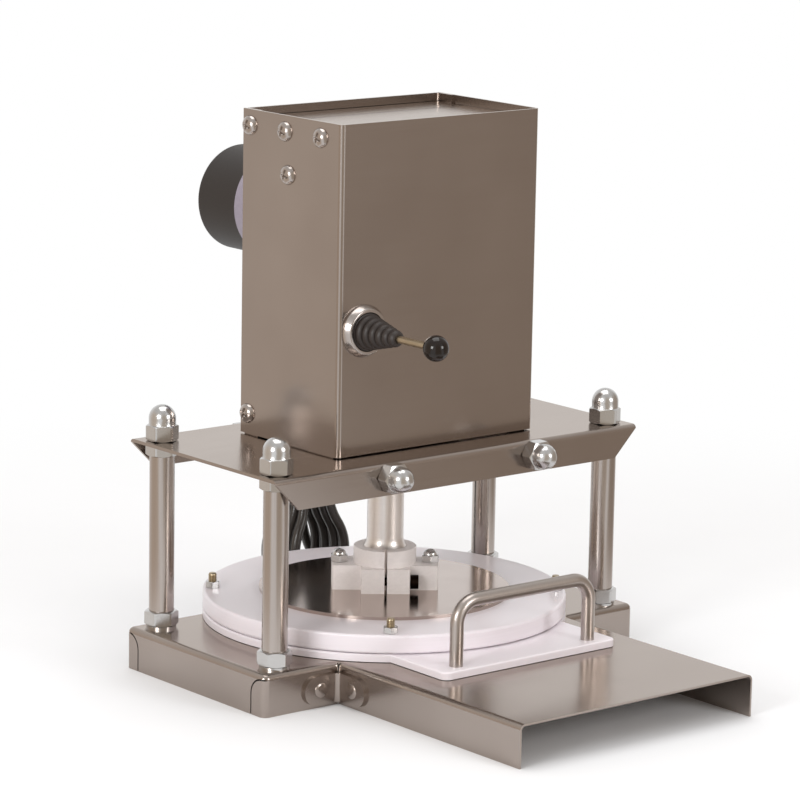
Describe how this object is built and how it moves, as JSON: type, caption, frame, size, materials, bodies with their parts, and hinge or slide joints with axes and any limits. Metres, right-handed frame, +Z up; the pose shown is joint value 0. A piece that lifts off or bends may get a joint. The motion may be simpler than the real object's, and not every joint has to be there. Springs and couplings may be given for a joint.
{
  "type": "dough press",
  "caption": "Table-top electric dough press: a motor in a sheet-steel head drives a rack rod that pushes a round white platen down on a slide-out board.",
  "frame": {"origin": "middle of the footprint on the table, without the mains lead", "axes": "+X to the operator's right, +Y from the operator to the motor, +Z up along the press rod"},
  "size_m": [0.2856, 0.3843, 0.334],
  "materials": {
    "brushed_stainless": "brushed",
    "bright_steel": "bright zinc",
    "plain_steel": "machined",
    "turned_steel": "ground",
    "satin_aluminium": "milled satin",
    "mirror_stainless": "mirror polish",
    "black_oxide_steel": "black oxide",
    "white_plastic": "smooth",
    "handle_steel": "satin",
    "brass_stud": "turned",
    "acetal": "machined",
    "cast_gearbox": "cast",
    "motor_shell": "satin",
    "black_plastic": "moulded",
    "black_rubber": "moulded"
  },
  "bodies": {
    "frame": {"base_plate": "brushed_stainless", "bracket_rivets": "brushed_stainless", "column_cap_nuts": "bright_steel", "column_front_left": "bright_steel", "column_front_right": "bright_steel", "column_nuts": "bright_steel", "column_rear_left": "bright_steel", "column_rear_right": "bright_steel", "column_washers": "bright_steel", "cord_gland": "black_plastic", "cord_hank": "black_rubber", "cord_lead": "black_rubber", "cord_tail": "black_rubber", "cord_tie": "black_rubber", "corner_brackets": "brushed_stainless", "cover_screws": "bright_steel", "drive_bracket": "plain_steel", "drive_screws": "plain_steel", "foot_bolts": "plain_steel", "gearbox_housing": "cast_gearbox", "guide_block": "satin_aluminium", "guide_bush": "brass_stud", "head_cover": "brushed_stainless", "head_lid": "brushed_stainless", "joystick_barrel": "black_plastic", "joystick_boot": "black_rubber", "joystick_contacts": "black_plastic", "joystick_lock_ring": "plain_steel", "joystick_pin": "plain_steel", "joystick_ring": "bright_steel", "lid_strip": "brushed_stainless", "motor_can": "motor_shell", "motor_cap": "black_plastic", "plug_body": "black_plastic", "plug_pins": "bright_steel", "power_supply": "satin_aluminium", "rear_panel": "brushed_stainless", "rod_guide": "acetal", "strain_relief": "black_rubber", "tie_rod_back_nuts": "bright_steel", "tie_rod_cap_nuts": "bright_steel", "tie_rods": "plain_steel", "top_plate": "brushed_stainless"},
    "ram": {"press_rod": "turned_steel", "rod_clamp": "satin_aluminium", "clamp_screw": "black_oxide_steel", "hub_screws": "bright_steel", "hub_cap_nuts": "bright_steel", "backing_plate": "mirror_stainless", "platen": "white_plastic", "stop_studs": "brass_stud", "stop_nuts": "bright_steel"},
    "pinion": {"drive_pinion": "plain_steel", "output_shaft": "plain_steel"},
    "board": {"slide_board": "white_plastic", "handle": "handle_steel", "handle_screws": "plain_steel"},
    "lever": {"joystick_lever": "brass_stud", "joystick_knob": "black_plastic"}
  },
  "joints": [
    {"name": "ram_slide", "type": "slide", "parent": "frame", "child": "ram", "axis": [0, 0, 1], "range_m": [0, 0.042]},
    {"name": "pinion_spin", "type": "hinge", "parent": "frame", "child": "pinion", "pos_m": [0.0201, 0.0375, 0.263], "axis": [0, 1, 0], "range_deg": [-1, 202]},
    {"name": "board_slide", "type": "slide", "parent": "frame", "child": "board", "axis": [0, -1, 0], "range_m": [0, 0.13]},
    {"name": "joystick_tilt", "type": "hinge", "parent": "frame", "child": "lever", "pos_m": [-0.057, -0.0075, 0.2132], "axis": [1, 0, 0], "range_deg": [-18, 18], "stiffness_Nm_per_rad": 0.08, "deforming": ["joystick_boot"]}
  ],
  "couplings": [
    {"joint": "pinion_spin", "follows": "ram_slide", "rad_per_m": 83.333}
  ]
}
